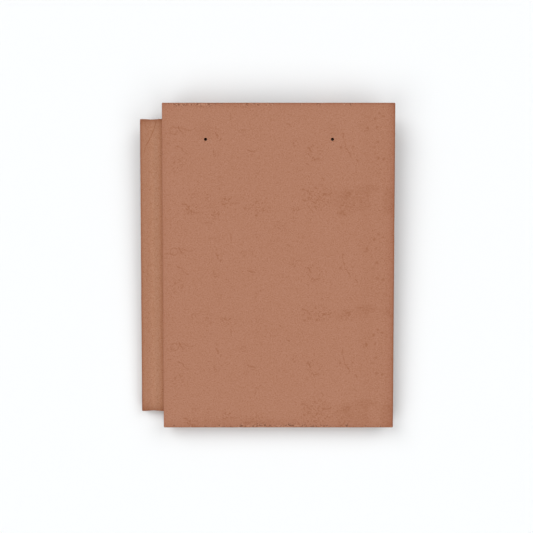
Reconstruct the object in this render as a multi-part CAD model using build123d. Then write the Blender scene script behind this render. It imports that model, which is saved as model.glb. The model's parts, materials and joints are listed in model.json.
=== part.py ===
from build123d import *

import math
import os

# Flat interlocking roof tile, cast from concrete in one piece. Lengths are in millimetres, angles in degrees.
# The tile is built lying level: X across it, Y up the roof towards its head, and Z up from its top face, with
# X = 0 and Y = 0 at the middle of the slab. The finished tile is then tipped into the pose in which it lies
# on a level floor, on its two hanging nibs and its tail edge.

# Slab
slab_length = 420.0
cover_width = 300.0         # pitch of laid tiles across the roof
side_joint = 1.0            # open joint between two laid slabs
panel_thickness = 14.0
bearing_depth = 25.0        # top face to the plane that lies on the battens
corner_radius = 2.0         # slab and strip corners, seen from above
top_arris_radius = 1.5
foot_radius = 1.5           # lower edges of the tail, side bars and nibs

# Underlock: the low strip along the left side, with a dished gutter, which the next tile laps
lock_width = 30.0
lock_head_setback = 19.0
lock_tail_setback = 19.0
rim_drop = 11.3             # top face to the strip's rim
rim_width = 3.5
rim_radius = 1.2
gutter_depth = 3.5          # rim to the bottom of the dish
gutter_shelf = 2.5          # flat between the dish and the slab's side

# Overlock: the thin right edge, which laps the underlock of the next tile
lock_clearance = 1.0        # vertical play in the laid lock
lock_side_clearance = 1.5   # sideways play of the rim and the bead in the laid lock

# Bars and ribs under the slab
side_bar_width = 10.0
rib_count = 2
rib_width = 9.0
bar_draft = 12.0            # slope of the walls of bars, ribs and nibs
tail_bar_width = 12.0
weather_bar_count = 2
weather_bar_width = 7.0
weather_bar_pitch = 22.0
weather_bar_relief = 3.0    # weather bars stop this far above the bearing plane
bar_edge_radius = 1.0

# Hanging nibs, in line with the nail holes
hook_from_head = 23.0       # head end to the nibs' hook faces
nib_drop = 17.5             # nibs reach this far below the bearing plane
nib_width = 40.0            # at the foot
nib_head_setback = 2.0

# Nail holes
nail_hole_radius = 2.0
nail_hole_from_hook = 23.6  # down the roof from the hook faces, into the middle of the batten
nail_hole_from_left = 55.9
nail_hole_spacing = 162.7

# Joined pieces run this far into each other, and cutters this far past what they cut
bite = 2.0

slab_width = cover_width - side_joint
slab_right = slab_width / 2
slab_left = -slab_right
head_end = slab_length / 2
tail_end = -head_end

strip_outer = slab_left - lock_width
strip_head = head_end - lock_head_setback
strip_tail = tail_end + lock_tail_setback
gutter_start = strip_outer + rim_width
gutter_end = slab_left - gutter_shelf
gutter_drop = rim_drop + gutter_depth

# The strip of the next tile to the right, where it lies under the overlock
next_strip_outer = strip_outer + cover_width
lock_wall = next_strip_outer - lock_side_clearance
lip_depth = rim_drop - lock_clearance
bead_start = gutter_start + cover_width + lock_side_clearance
bead_end = gutter_end + cover_width - lock_side_clearance
bead_depth = gutter_drop - lock_clearance

hook_face_y = head_end - hook_from_head
nib_depth = bearing_depth + nib_drop
nail_hole_y = hook_face_y - nail_hole_from_hook
nail_hole_xs = [slab_left + nail_hole_from_left + i * nail_hole_spacing for i in range(2)]

# The floor touches the nibs' lower edges and the tail's, which have the same radius.
rest_tilt = math.degrees(math.atan2(nib_drop, hook_face_y - tail_end))


def draft_spread(height):
    """Return how far a drafted wall of this height leans out towards its root."""
    return height * math.tan(math.radians(bar_draft))


def block(x_low, x_high, y_low, y_high, z_low, z_high):
    """Return the box between these planes."""
    centre = Pos((x_low + x_high) / 2, (y_low + y_high) / 2, (z_low + z_high) / 2)
    return centre * Box(x_high - x_low, y_high - y_low, z_high - z_low)


def section_along_y(section, y_low, y_high):
    """Extrude a section drawn as (x, z) along Y."""
    plane = Plane(origin=(0, y_low, 0), x_dir=(1, 0, 0), z_dir=(0, -1, 0))
    return extrude(plane * section, -(y_high - y_low))


def section_along_x(section, x_low, x_high):
    """Extrude a section drawn as (y, z) along X."""
    plane = Plane(origin=(x_low, 0, 0), x_dir=(0, 1, 0), z_dir=(1, 0, 0))
    return extrude(plane * section, x_high - x_low)


def drafted_section(centre, width, depth):
    """Return a drafted bar's section, from inside the panel down to its foot, with sharp corners."""
    spread = draft_spread(depth - panel_thickness + bite)
    top = bite - panel_thickness
    return make_face(
        Polyline(
            (centre - width / 2, -depth),
            (centre + width / 2, -depth),
            (centre + width / 2 + spread, top),
            (centre - width / 2 - spread, top),
            close=True,
        )
    )


def bar_section(centre, width, depth):
    """Return a drafted bar's section with a rounded foot."""
    section = drafted_section(centre, width, depth)
    return fillet(section.vertices().sort_by(Axis.Y)[:2], bar_edge_radius)


def side_bar_section(wall, inward):
    """Return a side bar's section: a plumb wall outside, a drafted one inside."""
    root = bearing_depth - panel_thickness + bite
    top = bite - panel_thickness
    inner = wall + inward * side_bar_width
    section = make_face(
        Polyline(
            (wall, -bearing_depth),
            (inner, -bearing_depth),
            (inner + inward * draft_spread(root), top),
            (wall, top),
            close=True,
        )
    )
    return fillet(section.vertices().sort_by(Axis.Y)[:2], bar_edge_radius)


def slab_envelope():
    """Return the slab's outer form at full depth, with its rounded corners and edges."""
    envelope = block(slab_left, slab_right, tail_end, head_end, -bearing_depth, 0)
    envelope = fillet(envelope.edges().filter_by(Axis.Z), corner_radius)
    envelope = fillet(envelope.faces().sort_by(Axis.Z)[-1].edges(), top_arris_radius)
    return fillet(envelope.faces().sort_by(Axis.Z)[0].edges(), foot_radius)


def rib_centres():
    """Return the stiffening ribs' places, evenly spaced between the two side bars."""
    first = slab_left + side_bar_width
    last = lock_wall - side_bar_width
    pitch = (last - first) / (rib_count + 1)
    return [first + (i + 1) * pitch for i in range(rib_count)]


def weather_bar_centres():
    """Return the weather bars' places, counted up the roof from the tail bar."""
    tail_bar_centre = tail_end + tail_bar_width / 2
    return [tail_bar_centre + (i + 1) * weather_bar_pitch for i in range(weather_bar_count)]


def underside_bars():
    """Return the side bars, the stiffening ribs, the tail bar and the weather bars."""
    bars = section_along_y(side_bar_section(slab_left, 1), tail_end, head_end)
    bars += section_along_y(side_bar_section(lock_wall, -1), tail_end, head_end)
    ribs_from = max(weather_bar_centres(), default=tail_end)
    for centre in rib_centres():
        rib = bar_section(centre, rib_width, bearing_depth)
        bars += section_along_y(rib, ribs_from, head_end)
    bars_from = slab_left + side_bar_width / 2
    bars_to = lock_wall - side_bar_width / 2
    tail_bar = bar_section(tail_end, 2 * tail_bar_width, bearing_depth)
    bars += section_along_x(tail_bar, bars_from, bars_to)
    for centre in weather_bar_centres():
        bar = bar_section(centre, weather_bar_width, bearing_depth - weather_bar_relief)
        bars += section_along_x(bar, bars_from, bars_to)
    return bars


def underlock():
    """Return the lock strip, which runs a little way into the slab's side."""
    outline = Polyline(
        (gutter_end, -rim_drop),
        (slab_left + bite, -rim_drop),
        (slab_left + bite, -bearing_depth),
        (strip_outer, -bearing_depth),
        (strip_outer, -rim_drop),
        (gutter_start, -rim_drop),
    )
    dish_middle = ((gutter_start + gutter_end) / 2, -gutter_drop)
    dish = ThreePointArc((gutter_start, -rim_drop), dish_middle, (gutter_end, -rim_drop))
    section = make_face(outline.edges() + dish.edges())
    outer_corners = section.vertices().filter_by_position(Axis.X, strip_outer - 0.1, strip_outer + 0.1)
    section = fillet(outer_corners, rim_radius)
    strip = section_along_y(section, strip_tail, strip_head)
    corners = block(strip_outer, slab_left + bite, strip_tail, strip_head, -bearing_depth, 0)
    return strip & fillet(corners.edges().filter_by(Axis.Z).sort_by(Axis.X)[:2], corner_radius)


def overlock_cut():
    """Return the space under the slab's right edge that the next tile's strip fills, with its play."""
    outline = Polyline(
        (bead_end, -lip_depth),
        (slab_right + bite, -lip_depth),
        (slab_right + bite, -bearing_depth - bite),
        (lock_wall, -bearing_depth - bite),
        (lock_wall, -lip_depth),
        (bead_start, -lip_depth),
    )
    bead_middle = ((bead_start + bead_end) / 2, -bead_depth)
    bead = ThreePointArc((bead_start, -lip_depth), bead_middle, (bead_end, -lip_depth))
    section = make_face(outline.edges() + bead.edges())
    return section_along_y(section, tail_end - bite, head_end + bite)


def hanging_nib(centre):
    """Return one nib: a plumb hook face towards the tail, and drafted faces on its other sides."""
    nib = section_along_y(drafted_section(centre, nib_width, nib_depth), hook_face_y, head_end)
    slope = math.radians(bar_draft)
    head_face = Plane(
        origin=(centre, head_end - nib_head_setback, -panel_thickness),
        z_dir=(0, math.cos(slope), -math.sin(slope)),
    )
    nib = split(nib, bisect_by=head_face, keep=Keep.BOTTOM)
    return fillet(nib.faces().sort_by(Axis.Z)[0].edges(), foot_radius)


def nail_hole(x):
    """Return the cutter of one nail hole."""
    return Pos(x, nail_hole_y, 0) * Cylinder(nail_hole_radius, 2 * (bearing_depth + bite))


def level_tile():
    """Return the tile lying level, with its top face at Z = 0."""
    panel = block(slab_left, slab_right, tail_end, head_end, -panel_thickness, 0)
    tile = slab_envelope() & (panel + underside_bars())
    tile += underlock()
    for x in nail_hole_xs:
        tile += hanging_nib(x)
    tile -= overlock_cut()
    for x in nail_hole_xs:
        tile -= nail_hole(x)
    return tile


def resting_tile():
    """Return the tile as it lies on a level floor, centred over the origin."""
    tipped = Rot(X=rest_tilt) * level_tile()
    extent = tipped.bounding_box()
    middle = extent.center()
    return Pos(-middle.X, -middle.Y, -extent.min.Z) * tipped


os.makedirs("parts", exist_ok=True)
export_step(resting_tile(), "parts/roof_tile.step")
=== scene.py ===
import json
import logging
import math
from dataclasses import dataclass, field
from enum import Enum
from typing import Callable

import bpy
import numpy as np
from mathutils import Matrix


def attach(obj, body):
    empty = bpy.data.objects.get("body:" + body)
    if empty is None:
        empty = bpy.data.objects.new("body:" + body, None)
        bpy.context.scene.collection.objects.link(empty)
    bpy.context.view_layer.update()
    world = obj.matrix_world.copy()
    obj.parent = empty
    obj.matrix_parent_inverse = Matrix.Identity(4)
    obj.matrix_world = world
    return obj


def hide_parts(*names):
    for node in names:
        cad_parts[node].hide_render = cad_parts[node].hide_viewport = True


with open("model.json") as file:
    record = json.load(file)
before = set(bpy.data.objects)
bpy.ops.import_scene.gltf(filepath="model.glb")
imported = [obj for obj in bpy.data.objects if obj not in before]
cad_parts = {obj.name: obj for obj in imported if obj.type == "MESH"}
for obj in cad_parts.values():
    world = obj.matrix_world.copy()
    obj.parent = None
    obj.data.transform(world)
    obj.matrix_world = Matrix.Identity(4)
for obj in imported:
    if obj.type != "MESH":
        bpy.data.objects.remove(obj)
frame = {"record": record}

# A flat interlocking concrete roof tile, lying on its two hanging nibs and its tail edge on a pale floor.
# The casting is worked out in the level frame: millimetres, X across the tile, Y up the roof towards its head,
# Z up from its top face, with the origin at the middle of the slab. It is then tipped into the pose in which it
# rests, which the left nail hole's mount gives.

LOG = logging.getLogger("roof_tile")
MM = 0.001
WELD_DECIMALS = 3           # corners nearer than a micrometre are one corner
SLACK = 1e-6                # how far a place may stray from a line and still lie on it
TINY = 1e-9                 # keeps a division away from zero
Array = np.ndarray
Colour = tuple[float, float, float]
Height = Callable[[Array, Array], Array]     # a surface's height at places


class Side(Enum):
    """An edge of the slab: the axis across it, and the way it faces along that axis."""

    TAIL = (1, -1)
    RIGHT = (0, 1)
    HEAD = (1, 1)
    LEFT = (0, -1)

    @property
    def across(self) -> int:
        """The axis that points out of this edge."""
        return self.value[0]

    @property
    def facing(self) -> int:
        """Plus or minus one along that axis."""
        return self.value[1]


class Tone(Enum):
    """Which of the finish's masks an attribute of the casting carries."""

    COAT = "coat"           # the smooth coloured face
    WORN = "worn_arris"     # the line where an arris is rubbed
    CHIP = "chipped"        # fresh breaks in an arris
    SHADE = "edge_shade"    # the darker margin of the face
    BORE = "dirty_bore"     # the painted shade deep in the nail holes


def quarter_round(radius: float, steps: int) -> Array:
    """Return a rounded arris's insets: at the angle phi from its plumb side, radius * (1 - cos(phi))."""
    return radius * (1.0 - np.cos(np.linspace(0.0, math.pi / 2, steps + 1)))


def arris_drop(inset: Array, radius: Array | float) -> Array:
    """Return how far a rounded arris lies under its face: radius - root(radius^2 - (radius - inset)^2)."""
    short = np.clip(radius - inset, 0.0, radius)
    return radius - np.sqrt(np.maximum(radius**2 - short**2, 0.0))


def smooth_step(value: Array, low: float, high: float) -> Array:
    """Return 0 below low, 1 above high, and 3t^2 - 2t^3 between them."""
    t = np.clip((value - low) / (high - low), 0.0, 1.0)
    return t * t * (3.0 - 2.0 * t)


def spaced(marks: Array, step: float) -> Array:
    """Return the marks in order, with even lines between them where they stand more than a step apart.

    Args:
        marks: coordinates, in any order.
        step: the widest gap that is left.

    Returns:
        The marks and the lines between them, from low to high.
    """
    marks = np.unique(np.round(marks, 4))
    counts = np.maximum(1, np.ceil(np.diff(marks) / step - SLACK)).astype(int)
    runs = [np.linspace(a, b, n + 1)[:-1] for a, b, n in zip(marks[:-1], marks[1:], counts)]
    return np.concatenate([*runs, marks[-1:]])


def between(lines: Array, low: float, high: float) -> Array:
    """Return the lines from low to high, both ends kept."""
    return lines[(lines >= low - SLACK) & (lines <= high + SLACK)]


@dataclass(frozen=True)
class Ripple:
    """A smooth unevenness: a sum of sine waves of seeded directions, lengths and phases, from 0 to 1."""

    seed: int
    shortest: float = 18.0
    longest: float = 110.0
    waves: int = 24

    def at(self, places: Array) -> Array:
        """Return the ripple at places.

        Each wave is the sine of 2 pi times the distance along its heading over its length, plus its phase, and
        counts by its length.

        Args:
            places: places in millimetres, one for each row.

        Returns:
            A value from 0 to 1 for each place.
        """
        rng = np.random.default_rng(self.seed)
        heading = rng.normal(size=(self.waves, places.shape[1]))
        heading /= np.linalg.norm(heading, axis=1, keepdims=True)
        length = np.exp(rng.uniform(math.log(self.shortest), math.log(self.longest), self.waves))
        phase = rng.uniform(0.0, 2 * math.pi, self.waves)
        weight = length / length.sum()
        waves = np.sin(places @ (heading * (2 * math.pi / length)[:, None]).T + phase) @ weight
        return np.clip(0.5 + waves, 0.0, 1.0)


@dataclass(frozen=True)
class Slab:
    """The flat body of the tile, in millimetres."""

    length: float = 420.0
    width: float = 299.0
    panel: float = 14.0             # thickness between the bars
    bearing: float = 25.0           # top face to the plane that lies on the battens
    corner: float = 1.2             # corners seen from above
    arris: float = 1.5
    foot: float = 1.5               # lower arris of the full depth
    thin_foot: float = 0.7          # lower arris of the panel and the lip
    arris_steps: int = 4
    right_fall: float = 0.35        # the face falls away this much towards the right edge
    right_fall_width: float = 10.0
    hollow: float = 0.16            # depth of the shallow waves in the face
    ripple: Ripple = Ripple(seed=11)

    @property
    def half_width(self) -> float:
        """Middle of the slab to its sides."""
        return self.width / 2

    @property
    def half_length(self) -> float:
        """Middle of the slab to its head and tail."""
        return self.length / 2

    def inset(self, x: Array, y: Array) -> Array:
        """Return how far places lie inside the slab's sharp outline."""
        return np.minimum(self.half_width - np.abs(x), self.half_length - np.abs(y))

    def face(self, x: Array, y: Array) -> Array:
        """Return the height of the top face: shallow hollows, the fall to the right, and the rounded arris.

        Args:
            x: places across the tile.
            y: places up the roof.

        Returns:
            The height at each place: the arris less the waves and the fall, which end at the outline.
        """
        waves = self.hollow * self.ripple.at(np.column_stack([x.ravel(), y.ravel()])).reshape(x.shape)
        fall = self.right_fall * smooth_step(x, self.half_width - self.right_fall_width, self.half_width)
        inset = self.inset(x, y)
        away = smooth_step(inset, 0.0, 2 * self.arris)
        return -arris_drop(inset, self.arris) - (waves + fall) * away

    def edge_insets(self) -> Array:
        """Return the arris's lines, counted in from the outline, and the end of the rounded corners."""
        return np.unique(np.append(quarter_round(self.arris, self.arris_steps), self.corner))


@dataclass(frozen=True)
class Underlock:
    """The low strip along the left side, with a dished gutter, which the next tile laps."""

    width: float = 30.0
    setback: float = 19.0
    rim_drop: float = 11.3
    rim_width: float = 3.5
    rim_radius: float = 1.2
    gutter_depth: float = 3.5
    shelf: float = 2.5
    sides: tuple[float, float] = (11.0, 13.0)   # the gutter's slopes, at the rim and at the slab's wall
    corner: float = 1.2
    wall_line: float = 1.0          # a further line across the strip, this far from the slab's wall
    dish_steps: int = 14
    arris_steps: int = 4

    def outer(self, slab: Slab) -> float:
        """X of the strip's outer side."""
        return -slab.half_width - self.width

    def half_run(self, slab: Slab) -> float:
        """Middle of the tile to the strip's ends."""
        return slab.half_length - self.setback

    def dish(self, slab: Slab) -> tuple[float, float]:
        """X of the gutter's two edges."""
        return self.outer(slab) + self.rim_width, -slab.half_width - self.shelf

    def inset(self, slab: Slab, x: Array, y: Array) -> Array:
        """Return how far places lie inside the strip's outer side and its two ends."""
        return np.minimum(x - self.outer(slab), self.half_run(slab) - np.abs(y))

    def top(self, slab: Slab, x: Array, y: Array) -> Array:
        """Return the strip's upper surface: rim, gutter and shelf, less the arris.

        The gutter's depth rises from each of its two edges as a smooth step, and the steps meet at its bottom.

        Args:
            slab: the slab's sizes.
            x: places across the tile.
            y: places up the roof.

        Returns:
            The height at each place.
        """
        start, end = self.dish(slab)
        rim_side, wall_side = self.sides
        sag = self.gutter_depth * smooth_step(x, start, start + rim_side) * smooth_step(-x, -end, wall_side - end)
        return -self.rim_drop - sag - arris_drop(self.inset(slab, x, y), self.rim_radius)

    def edge_insets(self) -> Array:
        """Return the rim's arris lines, counted in from its outer side."""
        return np.unique(np.append(quarter_round(self.rim_radius, self.arris_steps), self.corner))

    def lines(self, slab: Slab) -> Array:
        """Return the lines across the strip that its section needs.

        Args:
            slab: the slab's sizes.

        Returns:
            X of the rim's arris, the gutter and the foot of the slab's wall, in order.
        """
        start, end = self.dish(slab)
        dish = np.linspace(start, end, self.dish_steps + 1)
        outer = self.outer(slab) + self.edge_insets()
        wall = [-slab.half_width - self.wall_line, -slab.half_width]
        return np.unique(np.round(np.concatenate([outer, dish, wall]), 4))


@dataclass(frozen=True)
class BarSection:
    """A drafted bar under the panel: half its foot, its depth, and the rounding of its foot and root."""

    half_foot: float
    depth: float
    foot_radius: float = 1.0
    root_radius: float = 1.0
    draft: float = math.radians(12.0)
    steps: int = 3

    def outline(self, panel: float) -> tuple[Array, Array]:
        """Return the section as offsets from the bar's middle and the depth at each.

        A flat foot, an arc that turns by 90 degrees less the draft, a wall that leans out by the draft's
        tangent, and a smaller arc back into the panel.

        Args:
            panel: depth of the panel's underside.

        Returns:
            The offsets, and the depth at each.
        """
        turn = math.pi / 2 - self.draft
        phi = np.linspace(0.0, turn, self.steps + 1)
        foot_start = self.half_foot - self.foot_radius * math.tan(turn / 2)
        foot = foot_start + self.foot_radius * np.sin(phi)
        foot_depth = self.depth - self.foot_radius * (1 - np.cos(phi))
        root_end = self.half_foot + (self.depth - panel) * math.tan(self.draft)
        root_end += self.root_radius * math.tan(turn / 2)
        root = root_end - self.root_radius * np.sin(phi[::-1])
        root_depth = panel + self.root_radius * (1 - np.cos(phi[::-1]))
        return np.concatenate([foot, root]), np.concatenate([foot_depth, root_depth])

    def at(self, offset: Array, panel: float) -> Array:
        """Return the depth at distances from the bar's middle."""
        return np.interp(np.abs(offset), *self.outline(panel))

    def lines(self, panel: float) -> Array:
        """Return the offsets on one side of the middle that the section needs."""
        return self.outline(panel)[0]


@dataclass(frozen=True)
class Underside:
    """Everything below the panel: side bars, ribs, tail bar, weather bars, nibs and the lapping edge."""

    side_bar: BarSection = BarSection(10.0, 25.0)
    rib: BarSection = BarSection(4.5, 25.0)
    tail_bar: BarSection = BarSection(12.0, 25.0)
    weather_bar: BarSection = BarSection(3.5, 22.0)
    nib: BarSection = BarSection(20.0, 42.5, foot_radius=1.5, root_radius=1.5)
    rib_count: int = 2
    weather_bar_count: int = 2
    weather_bar_pitch: float = 22.0
    hook_from_head: float = 23.0
    nib_head_setback: float = 2.0
    plumb: float = 0.3              # a plumb face leans this much, to be one surface with its neighbours,
    hook_share: float = 0.2         # and this share of it at the nibs lies up the roof from the hook's plane
    lock_wall: float = 119.0
    lip: float = 10.3               # thickness of the lapping edge
    bead_depth: float = 13.8
    bead_edges: tuple[float, float] = (125.5, 146.5)
    bead_steps: int = 8
    plain_step: float = 4.0

    def rib_centres(self, slab: Slab) -> Array:
        """Return X of the ribs, evenly spaced between the two side bars.

        Args:
            slab: the slab's sizes.

        Returns:
            X of each rib's middle.
        """
        first = -slab.half_width + self.side_bar.half_foot
        last = self.lock_wall - self.side_bar.half_foot
        return np.linspace(first, last, self.rib_count + 2)[1:-1]

    def weather_bar_centres(self, slab: Slab) -> Array:
        """Return Y of the weather bars, counted up the roof from the middle of the tail bar."""
        tail_bar = -slab.half_length + self.tail_bar.half_foot / 2
        return tail_bar + self.weather_bar_pitch * np.arange(1, self.weather_bar_count + 1)

    def hook(self, slab: Slab) -> float:
        """Y of the nibs' hook faces."""
        return slab.half_length - self.hook_from_head

    def nib_along(self, slab: Slab) -> tuple[Array, Array]:
        """Return a nib's section along the roof: plumb hook face, foot, drafted head face.

        Args:
            slab: the slab's sizes.

        Returns:
            The Y of its points, and the depth at each.
        """
        turn = np.linspace(0.0, math.pi / 2, self.nib.steps + 1)
        radius = self.nib.foot_radius
        hook = self.hook(slab)
        rise = hook + self.plumb * self.hook_share + radius * (1 - np.cos(turn))
        rise_depth = self.nib.depth - radius * (1 - np.sin(turn))
        offsets, depths = self.nib.outline(slab.panel)
        root = slab.half_length - self.nib_head_setback
        fall = root - (self.nib.depth - slab.panel) * math.tan(self.nib.draft) - self.nib.half_foot
        start = hook - self.plumb * (1.0 - self.hook_share)
        along = np.concatenate([[start], rise, fall + offsets])
        return along, np.concatenate([[slab.panel], rise_depth, depths])

    def lock_section(self, slab: Slab) -> tuple[Array, Array]:
        """Return the lapping edge's section: the bar's outer foot, the wall, the lip, the bead.

        The bead is a circle's arc through its two edges and its lowest line.

        Args:
            slab: the slab's sizes.

        Returns:
            The X of its points, and the depth at each.
        """
        turn = np.linspace(0.0, math.pi / 2, self.side_bar.steps + 1)
        radius = self.side_bar.foot_radius
        foot = self.lock_wall - radius * (1 - np.sin(turn))
        foot_depth = self.side_bar.depth - radius * (1 - np.cos(turn))
        start, end = self.bead_edges
        half, rise = (end - start) / 2, self.bead_depth - self.lip
        bead_radius = (half**2 + rise**2) / (2 * rise)
        bead = np.linspace(start, end, self.bead_steps + 1)
        bead_depth = self.lip + np.sqrt(bead_radius**2 - (bead - (start + end) / 2) ** 2) - (bead_radius - rise)
        across = np.concatenate([foot, [self.lock_wall + self.plumb], bead, [slab.half_width]])
        return across, np.concatenate([foot_depth, [self.lip], bead_depth, [self.lip]])

    def inset(self, slab: Slab, lock: Underlock, x: Array, y: Array) -> Array:
        """Return how far places lie inside the outline of slab and strip together.

        Args:
            slab: the slab's sizes.
            lock: the underlock's sizes.
            x: places across the tile.
            y: places up the roof.

        Returns:
            The distance inside the nearest side.
        """
        beside = np.maximum(x + slab.half_width, lock.half_run(slab) - np.abs(y))
        on_slab = np.minimum(np.minimum(slab.half_length - np.abs(y), slab.half_width - x), beside)
        return np.where(x < -slab.half_width, lock.inset(slab, x, y), on_slab)

    def depth(self, slab: Slab, lock: Underlock, nibs: tuple[float, ...], x: Array, y: Array) -> Array:
        """Return the depth of the underside: the deepest of its bars, ribs and nibs, less the lower arris.

        Args:
            slab: the slab's sizes.
            lock: the underlock's sizes.
            nibs: X of the nibs.
            x: places across the tile.
            y: places up the roof.

        Returns:
            The depth below the top face at each place.
        """
        panel = slab.panel
        parts = [np.full(x.shape, panel)]
        parts.append(self.side_bar.at(np.maximum(x + slab.half_width, 0.0), panel))
        parts.append(self.side_bar.at(np.maximum(self.lock_wall - x, 0.0), panel))
        parts.append(self.tail_bar.at(y + slab.half_length, panel))
        weather_bars = self.weather_bar_centres(slab)
        parts += [self.weather_bar.at(y - centre, panel) for centre in weather_bars]
        for centre in self.rib_centres(slab):
            parts.append(np.where(y >= weather_bars.max(), self.rib.at(x - centre, panel), panel))
        along = np.interp(y, *self.nib_along(slab))
        parts += [np.minimum(self.nib.at(x - centre, panel), along) for centre in nibs]
        deepest = np.maximum.reduce(parts)
        across, lock_depth = self.lock_section(slab)
        in_lock = x > self.lock_wall - self.side_bar.foot_radius
        deepest = np.where(in_lock, np.interp(x, across, lock_depth), deepest)
        foot = np.interp(deepest, [panel, slab.bearing], [slab.thin_foot, slab.foot])
        return deepest - arris_drop(self.inset(slab, lock, x, y), foot)

    def lines_across(self, slab: Slab, nibs: tuple[float, ...]) -> Array:
        """Return the lines at fixed X that the bars, ribs, nibs and lapping edge need.

        Args:
            slab: the slab's sizes.
            nibs: X of the nibs.

        Returns:
            The lines, in no order.
        """
        bar, rib, nib = (section.lines(slab.panel) for section in (self.side_bar, self.rib, self.nib))
        marks = [-slab.half_width + bar, self.lock_wall - bar, self.lock_section(slab)[0]]
        marks += [centre + side * rib for centre in self.rib_centres(slab) for side in (-1, 1)]
        marks += [centre + side * nib for centre in nibs for side in (-1, 1)]
        return np.concatenate(marks)

    def lines_along(self, slab: Slab) -> Array:
        """Return the lines at fixed Y that the tail bar, weather bars and nibs need.

        Args:
            slab: the slab's sizes.

        Returns:
            The lines, in no order.
        """
        bar = self.weather_bar.lines(slab.panel)
        marks = [-slab.half_length + self.tail_bar.lines(slab.panel), self.nib_along(slab)[0]]
        marks += [centre + side * bar for centre in self.weather_bar_centres(slab) for side in (-1, 1)]
        return np.concatenate([*marks, self.weather_bar_centres(slab)])


@dataclass(frozen=True)
class NailHole:
    """A nail hole, made in a square window of the face and of the panel's underside."""

    x: float
    y: float
    radius: float = 2.0
    mouth: float = 0.15             # rounding of both mouths
    taper: float = 0.25             # the hole narrows by this much towards its lower mouth
    window: float = 4.5             # half the window's side
    cells: int = 6
    mouth_steps: int = 3
    bore_steps: int = 4
    ring_shares: tuple[float, ...] = (0.0, 0.45, 0.8)   # the rings' places from the window to the mouth
    bore_shade_depth: float = 1.2         # the painted shade starts over this depth below each mouth

    def marks(self, centre: float) -> Array:
        """Return the window's lines about a centre."""
        return centre + self.window * np.linspace(-1.0, 1.0, self.cells + 1)

    def covers(self, x: Array, y: Array) -> Array:
        """Return whether places lie in the window."""
        return (np.abs(x - self.x) < self.window) & (np.abs(y - self.y) < self.window)

    def inner(self, points: Array, panel: float) -> Array:
        """Return how far inside the bore points lie.

        Args:
            points: corners of the casting.
            panel: thickness of the panel.

        Returns:
            1 for a point on the bore's wall, and 0 at its mouths and outside it.
        """
        off = np.hypot(points[:, 0] - self.x, points[:, 1] - self.y)
        deep = smooth_step(-points[:, 2], 0.0, self.bore_shade_depth)
        deep = deep * smooth_step(panel + points[:, 2], 0.0, self.bore_shade_depth)
        return np.where(off < self.radius + 0.5 * self.mouth, deep, 0.0)

    def tube(self, top: Height, bottom: Height) -> Array:
        """Return the hole's skin, from the upper window down to the lower one.

        Each ring lies between the square window and the circle: a share t of the way, a point is the square's
        point times (1 - t) plus the circle's point times t. Each mouth is a quarter round.

        Args:
            top: gives the face's height at places.
            bottom: gives the underside's height at places.

        Returns:
            A grid of points: round the hole, then down it.
        """
        side = np.linspace(-1.0, 1.0, self.cells + 1)[:-1]
        edge = np.full(self.cells, 1.0)
        square = np.column_stack(
            [np.concatenate([side, edge, -side, -edge]), np.concatenate([-edge, side, edge, -side])]
        )
        square = np.vstack([square, square[:1]])
        circle = square / np.linalg.norm(square, axis=1, keepdims=True)
        turn = np.linspace(0.0, math.pi / 2, self.mouth_steps + 1)
        lips = self.mouth * (1 - np.sin(turn))
        drops = self.mouth * (1 - np.cos(turn))
        sunk = np.concatenate([np.zeros(len(self.ring_shares)), drops])

        def skin(surface: Height, radius: float, down: int) -> Array:
            """Return one mouth's rings on a surface, sunk towards the middle of the panel.

            Args:
                surface: gives the surface's height at places.
                radius: the hole's radius at this mouth.
                down: 1 for the upper mouth, and -1 for the lower.

            Returns:
                A grid of points: inwards, then round the hole.
            """
            wide = (radius + self.mouth) * circle
            rings = [self.window * square * (1 - t) + wide * t for t in self.ring_shares]
            rings += [(radius + lip) * circle for lip in lips]
            plan = np.stack(rings) + np.array([self.x, self.y])
            level = surface(plan[..., 0], plan[..., 1]) - down * sunk[:, None]
            return np.concatenate([plan, level[..., None]], axis=2)

        upper, lower = skin(top, self.radius, 1), skin(bottom, self.radius - self.taper, -1)[::-1]
        share = np.linspace(0.0, 1.0, self.bore_steps + 1)[1:-1, None, None]
        bore = upper[-1] * (1 - share) + lower[0] * share
        return np.concatenate([upper, bore, lower]).transpose(1, 0, 2)


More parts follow.
